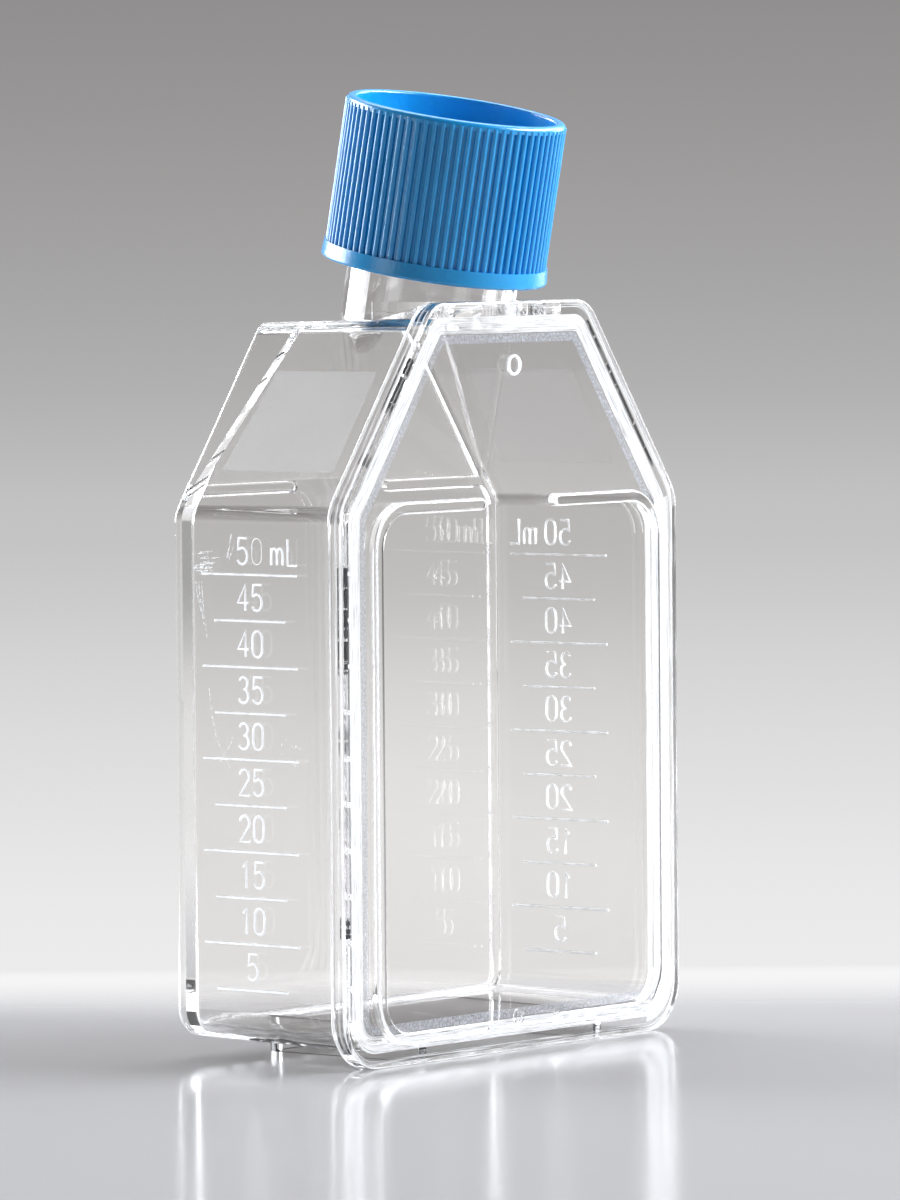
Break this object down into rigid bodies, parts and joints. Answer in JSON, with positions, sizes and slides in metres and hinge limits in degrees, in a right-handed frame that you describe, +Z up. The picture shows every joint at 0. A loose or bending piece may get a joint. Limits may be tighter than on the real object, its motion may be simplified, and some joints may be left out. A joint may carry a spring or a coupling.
{
  "type": "cell culture flask",
  "caption": "Small clear cell culture flask standing on its end, with a canted neck, a welded front plate, raised graduations and a ribbed blue screw cap.",
  "frame": {"origin": "on the floor, at the middle of the width, in the plane where the front plate is welded to the body, on the lower edge of the flange", "axes": "+Z up the flask as it stands on its end, +X across its width, -Y to its front, the side of the welded plate, which the neck leans towards"},
  "size_m": [0.056, 0.0284, 0.0991],
  "materials": {
    "clear_polystyrene": "clear injection-moulded polystyrene, glossy, with a frosted patch on each shoulder",
    "blue_polyethylene": "mid-blue moulded polyethylene, satin"
  },
  "bodies": {
    "flask": {"flask_body": "clear_polystyrene", "front_plate": "clear_polystyrene"},
    "cap": {"screw_cap": "blue_polyethylene"}
  },
  "joints": [
    {"name": "cap_lift", "type": "slide", "parent": "flask", "child": "cap", "axis": [0, -0.1908, 0.9816], "range_m": [0, 0.024]}
  ]
}
